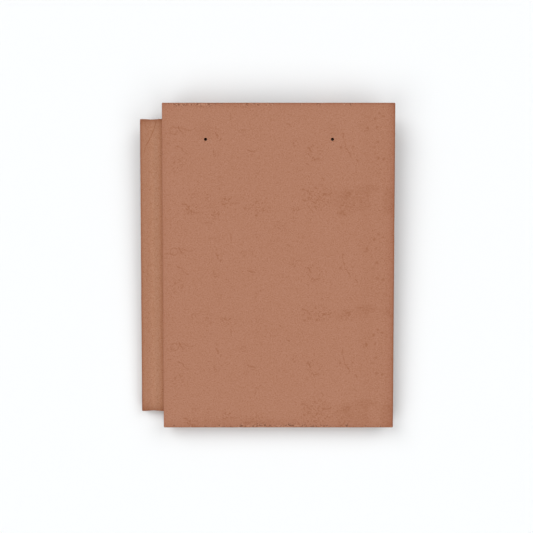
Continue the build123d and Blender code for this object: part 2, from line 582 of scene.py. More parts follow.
@dataclass
class Skin:
    """One closed skin, gathered from patches that share the corners along their seams."""

    corners: list[Array] = field(default_factory=list)
    coats: list[Array] = field(default_factory=list)
    quads: list[Array] = field(default_factory=list)
    triangles: list[Array] = field(default_factory=list)
    count: int = 0

    def _take(self, corners: Array, coat: Array | float) -> int:
        """Keep a patch's corners with their coat.

        Args:
            corners: the patch's corners.
            coat: how far the coloured face covers them.

        Returns:
            The number of the first corner.
        """
        first = self.count
        self.corners.append(corners)
        self.coats.append(np.broadcast_to(coat, corners.shape[:1]))
        self.count += len(corners)
        return first

    def grid(self, points: Array, coat: Array | float, keep: Array | None = None, flip: bool = False) -> None:
        """Add a grid's faces: face (i, j) joins its corner to the next in i, then in both, then in j.

        Args:
            points: the grid's corners, with their coordinates last.
            coat: how far the coloured face covers each corner.
            keep: which faces are made, or all of them.
            flip: turns the faces over.
        """
        number = np.arange(points.shape[0] * points.shape[1]).reshape(points.shape[:2])
        faces = np.stack([number[:-1, :-1], number[1:, :-1], number[1:, 1:], number[:-1, 1:]], axis=-1)
        faces = faces.reshape(-1, 4) if keep is None else faces[keep]
        spread = np.broadcast_to(coat, points.shape[:2]).reshape(-1)
        first = self._take(points.reshape(-1, 3), spread)
        self.quads.append(first + (faces[:, ::-1] if flip else faces))

    def stitch(self, fine: Array, fine_at: Array, coarse: Array, coarse_at: Array, coat: float, flip: bool) -> None:
        """Add the triangles between a finely and a coarsely divided edge.

        Each fine piece reaches to the coarse corner nearest to its middle, and each coarse piece to the fine
        corner where that choice changes.

        Args:
            fine: corners of the fine edge.
            fine_at: how far along the edge each of them lies.
            coarse: corners of the coarse edge.
            coarse_at: how far along the edge each of them lies.
            coat: how far the coloured face covers them.
            flip: turns the faces over.
        """
        middle = (fine_at[:-1] + fine_at[1:]) / 2
        change = (coarse_at[:-1] + coarse_at[1:]) / 2
        piece = np.arange(len(middle))
        fans = np.column_stack([piece, piece + 1, len(fine) + np.searchsorted(change, middle, side="left")])
        coarse_piece = len(fine) + np.arange(len(change))
        turn = np.searchsorted(middle, change, side="right")
        faces = np.vstack([fans, np.column_stack([coarse_piece, turn, coarse_piece + 1])])
        first = self._take(np.vstack([fine, coarse]), coat)
        self.triangles.append(first + (faces[:, ::-1] if flip else faces))

    def welded(self) -> tuple[Array, Array, list[list[int]]]:
        """Return the skin with every shared corner made one.

        Returns:
            The corners, their coats and the faces.
        """
        corners = np.concatenate(self.corners)
        coats = np.concatenate(self.coats)
        keys = np.round(corners, WELD_DECIMALS) + 0.0
        _, first, number = np.unique(keys, axis=0, return_index=True, return_inverse=True)
        number = number.reshape(-1)
        coat = np.zeros(len(first))
        np.maximum.at(coat, number, coats)
        quads = number[np.concatenate(self.quads)]
        triangles = number[np.concatenate(self.triangles)]
        used = np.unique(np.concatenate([quads.ravel(), triangles.ravel()]))
        place = np.zeros(len(first), dtype=int)
        place[used] = np.arange(len(used))
        return corners[first[used]], coat[used], place[quads].tolist() + place[triangles].tolist()


@dataclass(frozen=True)
class ArrisWear:
    """How an arris is worn: a narrow bevel whose width changes along it, and chips that flake off the face.

    A corner's reach is its distance inside the side plus its distance under the face. Where that is less than
    the bevel, the corner is moved back onto the bevel, by half of what is missing in each direction. A chip
    reaches further in: it lowers the face a little, and widens the bevel only as far as the notch.
    """

    seed: int
    radius: float = 1.5
    rub: float = 0.18               # how much the bevel's width changes from handling
    chips: int = 14
    chip_length: tuple[float, float] = (1.4, 5.5)
    chip_reach: tuple[float, float] = (2.5, 5.6)
    runs: tuple[tuple[float, float, int], ...] = ()     # from, to and chips of the stretches that are worse
    notch: float = 1.25
    flake: float = 0.3              # depth of a chip in the face
    line: float = 1.0               # how plain the rubbed line is
    knot: float = 0.5
    rub_cells: tuple[tuple[float, float], ...] = ((1.5, 0.35), (4.0, 0.4), (17.0, 0.25))    # lengths and shares
    shallow: float = 1.3            # above 1, more of the chips reach in only a little
    chip_edge: tuple[float, float] = (-0.3, 0.7)    # a chip's floor is reached over this much of its reach
    chip_start: tuple[float, float] = (0.6, 1.6)    # and the chips begin this far inside the side
    outside: float = 0.05           # corners this far outside the side still belong to the arris,
    above: float = 0.5              # and so do those this far over the face
    line_width: tuple[float, float] = (0.75, 0.55)  # of the rubbed line, in radii, and what rubbing adds to it
    line_fade: float = 0.45         # and the width of its soft edge

    def bevel(self, along: Array) -> tuple[Array, Array, Array]:
        """Return how the arris is worn at places along it.

        The rubbing adds up seeded values, joined by straight lines, on cells of several lengths. A chip reaches in
        as half an ellipse does: its reach times the root of 1 less the square of the place over its half length.

        Args:
            along: coordinates along the arris.

        Returns:
            The bevel, the chips' reach, and how wide the rubbed line is.
        """
        rng = np.random.default_rng(self.seed)
        low, high = along.min(), along.max()
        knots = np.arange(low, high + self.knot, self.knot)
        rubbed = np.zeros(len(knots))
        for cell, share in self.rub_cells:
            grid = np.arange(low - cell, high + 2 * cell, cell)
            rubbed += share * np.interp(knots, grid, rng.uniform(0.0, 1.0, len(grid)))
        places = [rng.uniform(low, high, self.chips)]
        places += [rng.uniform(start, end, count) for start, end, count in self.runs]
        place = np.concatenate(places)
        half = rng.uniform(*self.chip_length, len(place)) / 2
        least, most = self.chip_reach
        reach = least + (most - least) * rng.uniform(0, 1, len(place)) ** self.shallow
        bite = 1.0 - ((knots[:, None] - place) / half) ** 2
        chips = np.max(reach * np.sqrt(np.clip(bite, 0.0, 1.0)), axis=1)
        sharp = self.radius * (2.0 - math.sqrt(2.0))
        bevel = np.maximum(sharp + self.rub * rubbed, np.minimum(chips, self.notch))
        return tuple(np.interp(along, knots, values) for values in (bevel, chips, rubbed))

    def apply(self, points: Array, across: int, facing: int, side_at: float, face_at: float) -> tuple[Array, Array]:
        """Wear one arris in place.

        Args:
            points: corners, which are moved.
            across: the axis that points out of the side.
            facing: the way the side faces along it.
            side_at: where the side lies on that axis.
            face_at: the height of the face.

        Returns:
            The masks of the rubbed line and of the chips.
        """
        inside = facing * (side_at - points[:, across])
        under = face_at - points[:, 2]
        reach = inside + under
        near = (inside > -self.outside) & (under > -self.above) & (reach < self.chip_reach[1] + self.radius)
        bevel, chips, rubbed = self.bevel(points[:, 1 - across])
        lost = np.where(near, np.clip(bevel - reach, 0.0, None) / 2, 0.0)
        broken = smooth_step(chips - reach, *self.chip_edge) * smooth_step(inside, *self.chip_start)
        chipped = np.where(near, broken, 0.0)
        points[:, across] -= facing * lost
        points[:, 2] -= lost + self.flake * chipped
        width, more = self.line_width
        line = self.radius * (width + more * rubbed)
        worn = np.where(near, 1.0 - smooth_step(reach - line, 0.0, self.line_fade * self.radius), 0.0)
        return worn * self.line, chipped


@dataclass(frozen=True)
class Margin:
    """The darker margin along one side of the face: its strength at the edge, and how wide it is."""

    side: Side
    strength: float
    width: float


@dataclass(frozen=True)
class RestPose:
    """How the level tile lies on the floor: turned about X by the tilt, then moved by the shift, in millimetres."""

    tilt: float
    shift: tuple[float, float, float]

    @classmethod
    def of(cls, record: dict, hole: NailHole, panel: float) -> "RestPose":
        """Return the pose that puts a nail hole on its mount, whose axis is the tile's own upright.

        Args:
            record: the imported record.
            hole: the left nail hole.
            panel: thickness of the panel, in whose middle the mount lies.

        Returns:
            The pose.
        """
        mount = next(m for m in record["mounts"] if m["name"] == "nail_hole_left")
        tilt = math.atan2(-mount["axis"][1], mount["axis"][2])
        middle = cls(tilt, (0.0, 0.0, 0.0)).turned(np.array([[hole.x, hole.y, -panel / 2]]))[0]
        return cls(tilt, tuple(np.array(mount["pos_m"]) / MM - middle))

    def turned(self, points: Array) -> Array:
        """Return points turned about X by the tilt.

        Args:
            points: places, one for each row.

        Returns:
            The turned places: Y and Z mix by the cosine and sine of the tilt.
        """
        x, y, z = points.T
        cosine, sine = math.cos(self.tilt), math.sin(self.tilt)
        return np.column_stack([x, y * cosine - z * sine, y * sine + z * cosine])

    def placed(self, points: Array) -> Array:
        """Return points of the level frame where they lie in the row frame, in metres."""
        return (self.turned(points) + np.array(self.shift)) * MM


class Graph:
    """A material's nodes, with short ways to add them and to join them up."""

    def __init__(self, name: str) -> None:
        """Start an empty material.

        Args:
            name: the material's name.
        """
        self.material = bpy.data.materials.new(name)
        self.material.use_nodes = True
        self.tree = self.material.node_tree
        self.tree.nodes.clear()

    def add(self, kind: str, *inputs: object, **settings: object) -> bpy.types.Node:
        """Return a new node with its first inputs joined or set.

        Args:
            kind: the node's Blender name, without its leading ShaderNode.
            inputs: a socket or a value for each of the first inputs, or None to leave one.
            settings: the node's own properties.

        Returns:
            The node.
        """
        node = self.tree.nodes.new("ShaderNode" + kind)
        for name, value in settings.items():
            setattr(node, name, value)
        for number, value in enumerate(inputs):
            self.feed(node.inputs[number], value)
        return node

    def feed(self, socket: bpy.types.NodeSocket, value: object) -> None:
        """Join a socket to another, or set it to a value.

        Args:
            socket: the input.
            value: another node's output, a value, or None to leave the input.
        """
        if isinstance(value, bpy.types.NodeSocket):
            self.tree.links.new(value, socket)
        elif value is not None:
            socket.default_value = value

    def math(self, operation: str, *inputs: object) -> bpy.types.NodeSocket:
        """Return the result of a Math node."""
        return self.add("Math", *inputs, operation=operation).outputs[0]

    def vector(self, operation: str, *inputs: object) -> bpy.types.NodeSocket:
        """Return the vector that a Vector Math node gives."""
        return self.add("VectorMath", *inputs, operation=operation).outputs["Vector"]

    def distance(self, first: object, second: object) -> bpy.types.NodeSocket:
        """Return the distance between two places."""
        return self.add("VectorMath", first, second, operation="DISTANCE").outputs["Value"]

    def step(self, value: object, low: float, high: float, start: float = 0.0, end: float = 1.0) -> object:
        """Return a smooth step from start at low to end at high."""
        return self.add("MapRange", value, low, high, start, end, interpolation_type="SMOOTHSTEP").outputs[0]

    def noise(self, place: object, size: float, detail: float = 2.0, roughness: float = 0.5) -> object:
        """Return noise from 0 to 1.

        Args:
            place: the places that it is read at.
            size: how large its blotches are, in the places' own units.
            detail: how many finer layers it has.
            roughness: the share that each finer layer adds.

        Returns:
            The noise's socket.
        """
        node = self.add("TexNoise")
        self.feed(node.inputs["Vector"], place)
        for name, value in (("Scale", 1.0 / size), ("Detail", detail), ("Roughness", roughness)):
            node.inputs[name].default_value = value
        return node.outputs[0]

    def total(self, *terms: object) -> object:
        """Return the sum of several sockets.

        Args:
            terms: the sockets.

        Returns:
            Their sum.
        """
        result = terms[0]
        for term in terms[1:]:
            result = self.math("ADD", result, term)
        return result

    def most(self, *terms: object) -> object:
        """Return the largest of several sockets.

        Args:
            terms: the sockets.

        Returns:
            The largest.
        """
        result = terms[0]
        for term in terms[1:]:
            result = self.math("MAXIMUM", result, term)
        return result

    def tint(self, factor: object, first: object, second: object) -> bpy.types.NodeSocket:
        """Return a colour between two.

        Args:
            factor: 0 for the first, and 1 for the second.
            first: a colour.
            second: a colour.

        Returns:
            The mixed colour.
        """
        node = self.add("Mix", data_type="RGBA")
        for name, value in (("Factor_Float", factor), ("A_Color", first), ("B_Color", second)):
            socket = next(s for s in node.inputs if s.identifier == name)
            self.feed(socket, (*value, 1.0) if isinstance(value, tuple) else value)
        return next(s for s in node.outputs if s.identifier == "Result_Color")

    def toned(self, colour: object, amount: object, change: object) -> bpy.types.NodeSocket:
        """Return a colour times 1 plus an amount of a change.

        Args:
            colour: the colour.
            amount: how much of the change it takes.
            change: what is added to 1, in red, green and blue.

        Returns:
            The changed colour.
        """
        swing = self.add("VectorMath", operation="SCALE")
        self.feed(swing.inputs[0], change)
        self.feed(swing.inputs["Scale"], amount)
        return self.vector("MULTIPLY", colour, self.vector("ADD", swing.outputs[0], (1.0, 1.0, 1.0)))

    def mask(self, tone: Tone) -> bpy.types.NodeSocket:
        """Return one of the casting's own masks."""
        return self.add("Attribute", attribute_name=tone.value).outputs["Fac"]


@dataclass(frozen=True)
class Stroke:
    """A thin bowed mark: an arc from start to end that stands off its chord by the bow."""

    start: tuple[float, float]
    end: tuple[float, float]
    bow: float = 0.5
    width: float = 1.0
    strength: float = 0.7
    sides: tuple[float, float] = (0.35, 0.8)    # shares of its width between which it fades,
    tips: tuple[float, float] = (0.85, 1.05)    # and of its half length

    def mask(self, graph: Graph, place: object) -> object:
        """Return where the mark is.

        The circle through the ends with this bow has the radius (half chord squared + bow squared) / (2 * bow).
        The mark is what lies near that circle, and near the chord's middle.

        Args:
            graph: the material's nodes.
            place: the places to test.

        Returns:
            Its strength at each place.
        """
        start, end = np.array(self.start), np.array(self.end)
        middle, chord = (start + end) / 2, end - start
        half = np.linalg.norm(chord) / 2
        radius = (half**2 + self.bow**2) / (2 * abs(self.bow))
        aside = np.array([-chord[1], chord[0]]) / (2 * half)
        centre = middle - math.copysign(1.0, self.bow) * aside * (radius - abs(self.bow))
        off = graph.math("SUBTRACT", graph.distance(place, (*centre, 0.0)), float(radius))
        near, far = (self.width * share for share in self.sides)
        line = graph.step(graph.math("ABSOLUTE", off), near, far, self.strength, 0.0)
        near, far = (half * share for share in self.tips)
        run = graph.step(graph.distance(place, (*middle, 0.0)), near, far, 1.0, 0.0)
        return graph.math("MULTIPLY", line, run)


@dataclass(frozen=True)
class Ring:
    """A round mark, broken by noise."""

    centre: tuple[float, float]
    radius: float
    width: float = 1.0
    strength: float = 0.6
    core: float = 0.3               # share of its width that is at full strength

    def mask(self, graph: Graph, place: object) -> object:
        """Return where the mark is: near a circle about its centre."""
        off = graph.math("SUBTRACT", graph.distance(place, (*self.centre, 0.0)), self.radius)
        return graph.step(graph.math("ABSOLUTE", off), self.width * self.core, self.width, self.strength, 0.0)


@dataclass(frozen=True)
class Scuff:
    """A patch of the face that is rubbed or stained, with soft edges."""

    centre: tuple[float, float]
    reach: tuple[float, float]
    strength: float = 1.0
    core: float = 0.45

    def mask(self, graph: Graph, place: object) -> object:
        """Return where the patch is: offsets from its centre, each over its reach, that stay within 1.

        Args:
            graph: the material's nodes.
            place: the places to test.

        Returns:
            Its strength at each place.
        """
        off = graph.vector("SUBTRACT", place, (*self.centre, 0.0))
        share = graph.vector("MULTIPLY", off, (1.0 / self.reach[0], 1.0 / self.reach[1], 0.0))
        return graph.step(graph.distance(share, (0.0, 0.0, 0.0)), self.core, 1.0, self.strength, 0.0)


@dataclass(frozen=True)
class Mottle:
    """Noise cut to a mask: it goes from its least to its most as the noise passes from low to high."""

    size: float
    low: float
    high: float
    least: float = 0.0
    most: float = 1.0
    detail: float = 1.0
    roughness: float = 0.5

    def mask(self, graph: Graph, place: object) -> object:
        """Return the mask at places."""
        noise = graph.noise(place, self.size, self.detail, self.roughness)
        return graph.step(noise, self.low, self.high, self.least, self.most)


@dataclass(frozen=True)
class CastConcrete:
    """The finish of the casting: concrete coloured right through, with a smoother coloured face."""

    face: Colour = (0.412, 0.1885, 0.1156)
    strip: Colour = (0.449, 0.2205, 0.1330)
    gutter: Colour = (0.431, 0.2110, 0.1265)    # painted shade on the strip, from its middle to the slab's wall
    gutter_shade_reach: tuple[float, float] = (-169.0, -161.5)
    foot: Colour = (0.461, 0.2070, 0.1145)      # and painted light and shade close to the wall: redder, with less blue
    wall_foot_shading_reach: tuple[float, float] = (-159.5, -150.5)
    slab_edge: tuple[float, float] = (-149.62, -149.52)     # where the strip's colour gives way to the face's
    stain: tuple[float, ...] = (0.79, 0.665, 0.545)     # shares of the face's colour that a stain leaves
    margin: tuple[float, ...] = (0.835, 0.72, 0.665)    # and that a margin leaves
    lock_margin: tuple[float, ...] = (0.795, 0.703, 0.648)  # and one of the strip's
    worn: Colour = (0.275, 0.100, 0.046)
    fresh: Colour = (0.460, 0.222, 0.138)       # what a chip lays bare,
    chip: Colour = (0.160, 0.058, 0.030)        # and the painted shade in its hollows
    body: Colour = (0.300, 0.140, 0.084)
    # painted shade in the pores of plain concrete, and the dark colour of its marks
    pit: Colour = (0.120, 0.058, 0.038)
    # painted shade on the nail holes' walls, near black
    dirt: Colour = (0.012, 0.008, 0.006)
    grain: tuple[float, ...] = (0.125, 0.22, 0.33)      # how far the grain lightens and darkens red, green and blue
    grain_layers: tuple[tuple[float, float, float], ...] = (    # size, detail and share of each
        (1.4, 1.0, 1.3), (3.0, 1.0, 0.42), (6.5, 1.0, 0.20), (16.0, 1.0, 0.06), (60.0, 2.0, 0.12)
    )
    roughness: float = 0.9
    specular: float = 0.2
    stain_sheen: float = 0.12       # stains are smoother by this much
    relief: float = 0.25            # height of the bump, in millimetres,
    relief_strength: float = 0.55   # and how much of it shows
    sand: tuple[float, float, float] = (0.8, 3.0, 0.6)  # size, detail and roughness of the bump's sand,
    sand_relief: tuple[float, float] = (0.22, 0.9)      # its relief on the face, and what plain concrete adds
    pore_relief: float = -1.2
    mark_relief: float = -0.2
    pore_scale: float = 0.16        # pores to the millimetre
    pore_edge: tuple[float, float] = (0.10, 0.20)
    pit_share: float = 0.8          # how far the pores take their painted shade, and marks the same dark colour
    worn_share: float = 0.8         # and the rubbed lines and the chips their own colours, with painted shade in the chips' hollows
    chip_share: float = 0.78
    crumbs: Mottle = Mottle(2.1, 0.43, 0.53, detail=0.5)
    fray: float = 0.2               # how far the grain frays the edge of the coat
    raw_edge: tuple[float, float] = (0.25, 0.75)    # the coat gives way to plain concrete between these
    on_face: tuple[float, float] = (0.7, 0.95)      # and the face's marks end between these
    repeats: tuple[tuple[float, float], ...] = ((45.0, 154.6), (-71.0, 123.5))  # below a Y, marks move up by this
    seam_fade: tuple[float, float] = (14.0, 0.56)   # the rubs grow over this length from the last repeat's seam
    wander: tuple[float, float] = (0.28, 2.4)       # the marks' lines tremble: waves to the millimetre, and reach
    mark_gaps: Mottle = Mottle(2.3, 0.36, 0.52, 0.28, 0.8)
    specks: Mottle = Mottle(1.7, 0.61, 0.70, 0.0, 0.75)
    curl_size: float = 4.8                          # size of the flecks' curls,
    curl_line: tuple[float, float] = (0.03, 0.085)  # and how near to its middle value the noise draws them
    curl_gaps: Mottle = Mottle(2.7, 0.47, 0.55, 0.0, 0.8, detail=0.0)
    strays: Mottle = Mottle(16.0, 0.56, 0.68, 0.0, 0.5, detail=2.0)
    elsewhere: tuple[float, float, float] = (310.0, -70.0, 0.0)     # the strays' noise is read this far off
    streaks: Mottle = Mottle(2.1, 0.42, 0.60, detail=1.5, roughness=0.6)
    streak_squeeze: float = 0.45                    # makes the rubs' streaks longer across the tile
    rub_strength: tuple[float, float] = (0.22, 0.66)    # of the rubs, and what the streaks add to it
    rings: tuple[Ring, ...] = (Ring((-134.6, 174.2), 4.6, 1.1, 0.75),)
    strokes: tuple[Stroke, ...] = (
        Stroke((-140.2, 171.8), (-138.6, 167.8), 0.4, 1.3, 0.9),
        Stroke((-128.6, 180.0), (-123.8, 172.6), -0.9, 1.4, 1.0),
        Stroke((-124.4, 178.5), (-119.0, 175.2), 0.4, 1.2, 0.8),
        Stroke((-119.0, 175.2), (-107.0, 177.3), -1.6, 1.1, 0.7),
        Stroke((-131.5, 154.2), (-124.5, 152.0), 0.5, 1.3, 0.9),
        Stroke((-124.5, 152.0), (-116.6, 144.4), -0.9, 1.2, 0.9),
        Stroke((-143.5, 158.2), (-138.8, 156.6), 0.3, 1.3, 0.8),
        Stroke((-129.6, 138.4), (-127.0, 133.6), 0.8, 1.2, 0.8),
        Stroke((-83.6, 150.0), (-83.6, 145.6), 0.3, 1.4, 0.9),
        Stroke((-81.2, 172.6), (-77.6, 164.8), 0.7, 1.7, 1.0),
        Stroke((-81.2, 180.0), (-80.2, 175.4), 0.3, 1.2, 0.7),
        Stroke((-75.8, 160.8), (-72.6, 164.4), 0.5, 1.5, 0.9),
        Stroke((-61.9, 197.5), (-61.2, 187.3), 0.4, 1.2, 0.9),
        Stroke((-40.2, 150.0), (-29.0, 147.6), -0.8, 1.3, 1.0),
        Stroke((9.8, 182.9), (15.6, 181.3), 0.3, 1.4, 0.9),
        Stroke((82.6, 171.5), (82.6, 164.0), 0.3, 1.6, 0.8),
        Stroke((82.6, 164.0), (85.6, 152.4), 0.7, 1.1, 0.8),
        Stroke((85.6, 152.4), (92.6, 140.8), 0.9, 1.4, 1.0),
        Stroke((98.6, 138.4), (102.4, 134.0), 0.4, 1.6, 1.0),
        Stroke((39.0, 152.0), (41.2, 145.4), 0.8, 1.6, 1.0),
        Stroke((44.6, 137.6), (52.8, 140.0), -0.6, 1.6, 1.0),
        Stroke((33.4, 132.4), (38.8, 129.4), 1.4, 1.1, 0.7),
        Stroke((29.6, 99.6), (42.0, 92.2), 1.4, 1.5, 1.0),
        Stroke((57.8, 93.2), (69.2, 95.2), -1.8, 1.6, 1.0),
        Stroke((54.8, 113.8), (59.0, 110.8), 0.4, 1.3, 0.8),
        Stroke((74.8, 69.4), (86.0, 66.2), 0.4, 1.6, 1.0),
        Stroke((-124.6, 80.2), (-117.2, 79.3), 0.3, 1.6, 1.0),
        Stroke((-118.8, 74.6), (-114.8, 69.2), 0.5, 1.6, 1.0),
        Stroke((-110.6, 69.9), (-101.0, 70.4), -0.8, 1.4, 0.9),
        Stroke((-73.0, 81.8), (-67.4, 81.0), -1.9, 1.5, 1.0),
        Stroke((-57.4, 80.0), (-50.0, 82.2), 0.5, 1.3, 0.8),
        Stroke((-97.6, 55.7), (-85.0, 56.4), 0.3, 1.2, 0.7),
    )
    spots: tuple[Scuff, ...] = (
        Scuff((113.8, 177.0), (2.6, 4.0), 0.9),
        Scuff((125.8, 178.7), (1.7, 3.0), 0.8),
        Scuff((123.3, 189.6), (2.4, 2.8), 0.9),
        Scuff((128.9, 195.8), (3.0, 2.2), 0.9),
        Scuff((134.2, 192.2), (3.2, 1.7), 0.8),
        Scuff((139.4, 187.8), (2.6, 1.6), 0.6),
        Scuff((126.6, 159.8), (3.2, 2.4), 0.8),
        Scuff((122.1, 153.0), (3.6, 2.0), 0.6),
        Scuff((95.8, 153.8), (2.0, 1.7), 0.9),
        Scuff((80.2, 153.0), (1.9, 2.3), 0.9),
        Scuff((127.1, 139.2), (3.4, 2.6), 0.9),
        Scuff((134.6, 138.2), (2.8, 3.0), 0.9),
        Scuff((-42.8, 74.4), (1.9, 2.9), 0.9),
        Scuff((-28.4, 66.2), (2.6, 2.0), 0.9),
        Scuff((90.3, 94.2), (4.0, 3.6), 1.0),
    )
    scratches: tuple[Stroke, ...] = (
        Stroke((-158.2, 189.0), (-172.6, 155.4), 1.2, 1.0, 0.9),
        Stroke((-172.6, 155.4), (-174.6, 145.5), 0.4, 0.9, 0.6),
    )
    flecked: tuple[Scuff, ...] = (
        Scuff((50.0, 88.0), (26.0, 22.0), 1.0),
        Scuff((86.0, 84.0), (16.0, 22.0), 0.8),
        Scuff((-112.6, 73.0), (13.0, 9.0), 1.0),
        Scuff((-82.0, 67.5), (12.0, 8.0), 1.0),
        Scuff((-64.5, 84.5), (14.0, 7.5), 1.0),
        Scuff((-26.5, 77.5), (20.0, 13.0), 0.85),
        Scuff((-92.0, 91.0), (10.0, 9.0), 0.6),
        Scuff((-96.0, 76.0), (30.0, 20.0), 0.45),
        Scuff((3.0, 53.0), (11.0, 10.0), 0.7),
        Scuff((22.0, 74.0), (8.0, 8.0), 0.8),
        Scuff((21.0, 159.0), (9.0, 8.0), 0.7),
        Scuff((46.5, 138.5), (10.0, 5.0), 0.9),
        Scuff((-131.0, 131.0), (12.0, 15.0), 0.6),
        Scuff((132.0, 120.0), (16.0, 95.0), 0.45),
        Scuff((110.0, 185.0), (16.0, 16.0), 0.3),
        Scuff((-75.0, 206.0), (60.0, 5.0), 0.6),
    )
    rosette: Ring = Ring((46.5, 147.8), 8.3, 4.0, 0.9)
    rubbed: tuple[Scuff, ...] = (
        Scuff((98.0, 86.0), (36.0, 21.0), 0.75),
        Scuff((89.0, 94.0), (9.0, 7.5), 1.3),
        Scuff((83.0, 68.5), (9.0, 5.5), 1.1),
        Scuff((112.0, 99.0), (22.0, 9.0), 0.9),
        Scuff((141.0, 84.0), (11.0, 22.0), 0.9, 0.6),
    )
    spared: tuple[Scuff, ...] = (Scuff((122.4, 84.0), (8.5, 15.0), 1.0),)
    smudges: tuple[Scuff, ...] = (
        Scuff((-95.0, 174.0), (20.0, 19.0), 0.5, 0.1),
        Scuff((69.1, 174.0), (15.0, 17.0), 0.35, 0.1),
        Scuff((-40.0, -203.0), (95.0, 9.0), 0.5, 0.2),
    )
    smudge_mottle: tuple[float, float] = (7.0, 0.75)        # size of the smudges' mottling, and its strength
    band: tuple[float, float, float] = (114.0, 2.0, 13.0)   # middle, core and reach of the stripe on the right,
    band_streak: tuple[float, float] = (0.07, 5.0)          # how far its streaks are stretched, and their size
    band_strength: float = 0.17

    def place(self, graph: Graph, pose: RestPose) -> object:
        """Return the level frame's place, in millimetres, from the casting's own coordinates.

        Args:
            graph: the material's nodes.
            pose: how the level tile lies.

        Returns:
            The place's socket.
        """
        mapping = graph.add("Mapping", graph.add("TexCoord").outputs["Object"], vector_type="POINT")
        back = RestPose(-pose.tilt, (0.0, 0.0, 0.0)).turned(np.array([pose.shift]))[0]
        mapping.inputs["Location"].default_value = tuple(-back)
        mapping.inputs["Rotation"].default_value = (-pose.tilt, 0.0, 0.0)
        mapping.inputs["Scale"].default_value = (1 / MM, 1 / MM, 1 / MM)
        return mapping.outputs[0]

    def folded(self, graph: Graph, plan: object) -> object:
        """Return places on the face with the repeats of its marks laid over the first of them.

        Args:
            graph: the material's nodes.
            plan: places on the face.

        Returns:
            The moved places' socket.
        """
        apart = graph.add("SeparateXYZ", plan)
        along = apart.outputs["Y"]
        moves = [
            graph.math("MULTIPLY", graph.math("LESS_THAN", along, below), move) for below, move in self.repeats
        ]
        return graph.add("CombineXYZ", apart.outputs["X"], graph.total(along, *moves), 0.0).outputs[0]

    def marks(self, graph: Graph, repeat: object) -> object:
        """Return the single dark marks: rings, strokes and spots with trembling, broken lines.

        Args:
            graph: the material's nodes.
            repeat: places with the repeats laid over each other.

        Returns:
            How dark they are.
        """
        waves, reach = self.wander
        wander = graph.add("TexNoise")
        graph.feed(wander.inputs["Vector"], repeat)
        wander.inputs["Scale"].default_value = waves
        shake = graph.vector("SUBTRACT", wander.outputs["Color"], (0.5, 0.5, 0.5))
        near = graph.vector("ADD", repeat, graph.vector("MULTIPLY", shake, (reach, reach, 0.0)))
        lines = graph.most(*[mark.mask(graph, near) for mark in (*self.rings, *self.strokes, *self.spots)])
        return graph.math("MULTIPLY", lines, self.mark_gaps.mask(graph, repeat))

    def flecks(self, graph: Graph, repeat: object) -> object:
        """Return the short curled flecks, in patches and sparsely elsewhere.

        They are the contour line of one noise at its middle value, broken by another.

        Args:
            graph: the material's nodes.
            repeat: places with the repeats laid over each other.

        Returns:
            How dark they are.
        """
        curl = graph.noise(repeat, self.curl_size, 1.0)
        beside = graph.math("ABSOLUTE", graph.math("SUBTRACT", curl, 0.5))
        ridge = graph.step(beside, *self.curl_line, 1.0, 0.0)
        broken = self.curl_gaps.mask(graph, repeat)
        patches = graph.most(*[patch.mask(graph, repeat) for patch in (*self.flecked, self.rosette)])
        stray = self.strays.mask(graph, graph.vector("ADD", repeat, self.elsewhere))
        return graph.math("MULTIPLY", graph.math("MULTIPLY", ridge, broken), graph.most(patches, stray))

    def rubs(self, graph: Graph, repeat: object) -> object:
        """Return the broad stains, streaked across the tile, which leave some round places clear.

        Args:
            graph: the material's nodes.
            repeat: places with the repeats laid over each other.

        Returns:
            How dark they are.
        """
        streak = self.streaks.mask(graph, graph.vector("MULTIPLY", repeat, (self.streak_squeeze, 1.0, 0.0)))
        patches = graph.most(*[patch.mask(graph, repeat) for patch in self.rubbed])
        clear = graph.most(*[patch.mask(graph, repeat) for patch in self.spared])
        left = graph.math("MAXIMUM", graph.math("SUBTRACT", patches, clear), 0.0)
        plain, more = self.rub_strength
        return graph.math("MULTIPLY", graph.total(graph.math("MULTIPLY", streak, more), plain), left)

    def stained(self, graph: Graph, place: object, plan: object) -> tuple[object, object]:
        """Return how far the face is stained.

        Args:
            graph: the material's nodes.
            place: places in the level frame.
            plan: the same, seen from above.

        Returns:
            All the stains together, and the marks alone.
        """
        repeat = self.folded(graph, plan)
        across = graph.add("SeparateXYZ", place).outputs["X"]
        middle, core, reach = self.band
        beside = graph.math("ABSOLUTE", graph.math("SUBTRACT", across, middle))
        squeeze, size = self.band_streak
        streaks = graph.noise(graph.vector("MULTIPLY", plan, (1.0, squeeze, 0.0)), size, 3.0)
        stripe = graph.math("MULTIPLY", graph.step(beside, core, reach, self.band_strength, 0.0), streaks)
        smudge = graph.most(*[patch.mask(graph, plan) for patch in self.smudges])
        size, strength = self.smudge_mottle
        smudge = graph.math("MULTIPLY", smudge, graph.math("MULTIPLY", graph.noise(plan, size, 3.0), strength))
        specks = self.specks.mask(graph, place)
        marked = graph.most(self.marks(graph, repeat), self.flecks(graph, repeat))
        on_slab = graph.step(across, *self.slab_edge)
        marked = graph.math("MULTIPLY", marked, on_slab)
        scratched = graph.most(*[mark.mask(graph, plan) for mark in self.scratches])
        marked = graph.most(marked, scratched)
        seam = self.repeats[-1][0]
        beyond = graph.math("ABSOLUTE", graph.math("SUBTRACT", graph.add("SeparateXYZ", plan).outputs["Y"], seam))
        faded = graph.step(beyond, 0.0, self.seam_fade[0], 0.0, self.seam_fade[1])
        rubbed = graph.math("MULTIPLY", self.rubs(graph, repeat), faded)
        above = graph.step(graph.mask(Tone.COAT), *self.on_face)
        drawn = graph.math("MULTIPLY", graph.total(graph.most(marked, rubbed), stripe, smudge), above)
        marked = graph.math("MULTIPLY", marked, above)
        return graph.add("Clamp", graph.total(drawn, specks)).outputs[0], graph.most(marked, specks)

